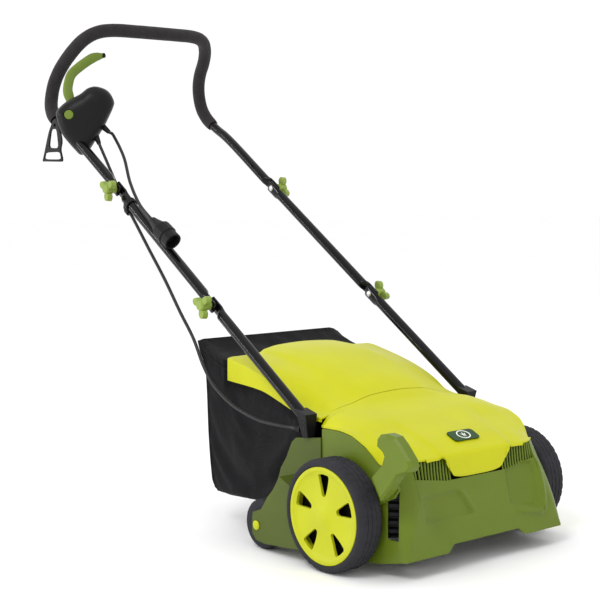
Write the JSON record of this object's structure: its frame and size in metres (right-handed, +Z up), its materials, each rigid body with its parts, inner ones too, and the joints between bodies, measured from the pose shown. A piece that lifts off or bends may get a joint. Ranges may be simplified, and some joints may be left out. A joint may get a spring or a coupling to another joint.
{
  "type": "electric lawn dethatcher",
  "caption": "Electric lawn dethatcher with a belt-driven tine drum, depth lever, hinged rear flap, fabric collection bag and folding handle with a lever switch.",
  "frame": {"origin": "on the ground under the middle of the machine's bounding box", "axes": "+Z up, -Y the way the machine is pushed, +X the operator's left"},
  "size_m": [0.54, 1.1946, 1.0392],
  "materials": {
    "lime": "satin moulded",
    "olive": "fine moulded grain",
    "green": "satin moulded",
    "black_plastic": "satin moulded",
    "tyre": "matt ribbed",
    "foam": "matt foam",
    "black_tube": "gloss powder coat",
    "fabric": "woven",
    "steel": "zinc plated",
    "aluminium": "cast",
    "cable": "smooth sheath",
    "rubber": "matt",
    "badge": "gloss"
  },
  "bodies": {
    "chassis": {"deck_shell": "olive", "rear_housing": "olive", "hood_cover": "lime", "front_grille_left": "black_plastic", "front_grille_right": "black_plastic", "badge": "badge", "drum_guard": "black_plastic", "motor_housing": "aluminium", "belt_cover": "black_plastic", "drive_belt": "rubber", "drum_bearing_left": "black_plastic", "drum_bearing_right": "black_plastic", "rear_axle": "steel", "rear_axle_cap_left": "lime", "rear_axle_cap_right": "lime", "lower_tube_left": "black_tube", "lower_tube_right": "black_tube", "handle_socket_left": "black_plastic", "handle_socket_right": "black_plastic", "depth_rack": "black_plastic", "deck_gland": "rubber", "lower_bolt_left": "steel", "lower_bolt_right": "steel", "motor_cable_lower": "cable"},
    "depth_axle": {"crank_axle": "steel", "depth_lever": "green"},
    "front_wheel_right": {"front_rim_right": "lime", "front_tyre_right": "tyre"},
    "front_wheel_left": {"front_rim_left": "lime", "front_tyre_left": "tyre"},
    "small_wheel_right": {"rear_wheel_right": "tyre"},
    "small_wheel_left": {"rear_wheel_left": "tyre"},
    "drum": {"tine_drum": "steel", "driven_pulley": "black_plastic"},
    "rotor": {"rotor_shaft": "steel", "drive_pulley": "steel"},
    "flap": {"discharge_flap": "lime"},
    "bag": {"bag_fabric": "fabric", "bag_frame": "steel"},
    "middle_handle": {"middle_tube_left": "black_tube", "middle_tube_right": "black_tube", "cable_clip": "black_plastic", "upper_bolt_left": "steel", "upper_bolt_right": "steel", "plug": "black_plastic"},
    "upper_handle": {"upper_bar": "black_tube", "foam_grip": "foam", "switch_box": "black_plastic", "motor_gland": "rubber", "supply_gland": "rubber", "motor_cable_upper": "cable", "supply_lead": "cable"},
    "trigger": {"switch_lever": "green"},
    "button": {"safety_button": "green"},
    "hook": {"cord_hook": "black_plastic"},
    "knob_lower_right": {"lower_knob_right": "green"},
    "knob_lower_left": {"lower_knob_left": "green"},
    "knob_upper_right": {"upper_knob_right": "green"},
    "knob_upper_left": {"upper_knob_left": "green"}
  },
  "joints": [
    {"name": "depth_adjust", "type": "hinge", "parent": "chassis", "child": "depth_axle", "pos_m": [0, -0.28532, 0.1], "axis": [1, 0, 0], "range_deg": [-6, 3.5]},
    {"name": "front_wheel_right_spin", "type": "hinge", "parent": "depth_axle", "child": "front_wheel_right", "pos_m": [-0.243, -0.40032, 0.1], "axis": [1, 0, 0], "continuous": true},
    {"name": "front_wheel_left_spin", "type": "hinge", "parent": "depth_axle", "child": "front_wheel_left", "pos_m": [0.243, -0.40032, 0.1], "axis": [1, 0, 0], "continuous": true},
    {"name": "small_wheel_right_spin", "type": "hinge", "parent": "chassis", "child": "small_wheel_right", "pos_m": [-0.229, -0.20232, 0.047], "axis": [1, 0, 0], "continuous": true},
    {"name": "small_wheel_left_spin", "type": "hinge", "parent": "chassis", "child": "small_wheel_left", "pos_m": [0.229, -0.20232, 0.047], "axis": [1, 0, 0], "continuous": true},
    {"name": "drum_spin", "type": "hinge", "parent": "chassis", "child": "drum", "pos_m": [0, -0.41532, 0.1], "axis": [1, 0, 0], "continuous": true},
    {"name": "rotor_spin", "type": "hinge", "parent": "chassis", "child": "rotor", "pos_m": [0, -0.32332, 0.232], "axis": [1, 0, 0], "continuous": true},
    {"name": "flap_hinge", "type": "hinge", "parent": "chassis", "child": "flap", "pos_m": [0, -0.31232, 0.293], "axis": [1, 0, 0], "range_deg": [0, 60]},
    {"name": "bag_slide", "type": "slide", "parent": "chassis", "child": "bag", "axis": [0, 1, 0], "range_m": [0, 0.25]},
    {"name": "middle_fold", "type": "hinge", "parent": "chassis", "child": "middle_handle", "pos_m": [0, -0.01908, 0.44328], "axis": [1, 0, 0], "range_deg": [0, 120], "deforming": ["motor_cable_lower"]},
    {"name": "upper_fold", "type": "hinge", "parent": "middle_handle", "child": "upper_handle", "pos_m": [0, 0.30896, 0.67042], "axis": [-1, 0, 0], "range_deg": [0, 120], "deforming": ["motor_cable_upper", "supply_lead"]},
    {"name": "trigger_pull", "type": "hinge", "parent": "upper_handle", "child": "trigger", "pos_m": [-0.2135, 0.49318, 0.847], "axis": [-1, 0, 0], "range_deg": [0, 10], "stiffness_Nm_per_rad": 0.5, "springref_deg": -11.46},
    {"name": "button_press", "type": "slide", "parent": "upper_handle", "child": "button", "axis": [0.5309, 0.846, 0.0492], "range_m": [0, 0.0045], "stiffness_N_per_m": 220, "springref_m": -0.003},
    {"name": "hook_swing", "type": "hinge", "parent": "upper_handle", "child": "hook", "pos_m": [-0.2328, 0.52768, 0.8125], "axis": [1, 0, 0], "range_deg": [0, 35]},
    {"name": "knob_lower_right_turn", "type": "hinge", "parent": "chassis", "child": "knob_lower_right", "pos_m": [-0.235, -0.01908, 0.44328], "axis": [1, 0, 0], "continuous": true},
    {"name": "knob_lower_left_turn", "type": "hinge", "parent": "chassis", "child": "knob_lower_left", "pos_m": [0.235, -0.01908, 0.44328], "axis": [1, 0, 0], "continuous": true},
    {"name": "knob_upper_right_turn", "type": "hinge", "parent": "middle_handle", "child": "knob_upper_right", "pos_m": [-0.235, 0.30896, 0.67042], "axis": [1, 0, 0], "continuous": true},
    {"name": "knob_upper_left_turn", "type": "hinge", "parent": "middle_handle", "child": "knob_upper_left", "pos_m": [0.235, 0.30896, 0.67042], "axis": [1, 0, 0], "continuous": true}
  ],
  "couplings": [
    {"joint": "rotor_spin", "follows": "drum_spin", "ratio": 3}
  ]
}
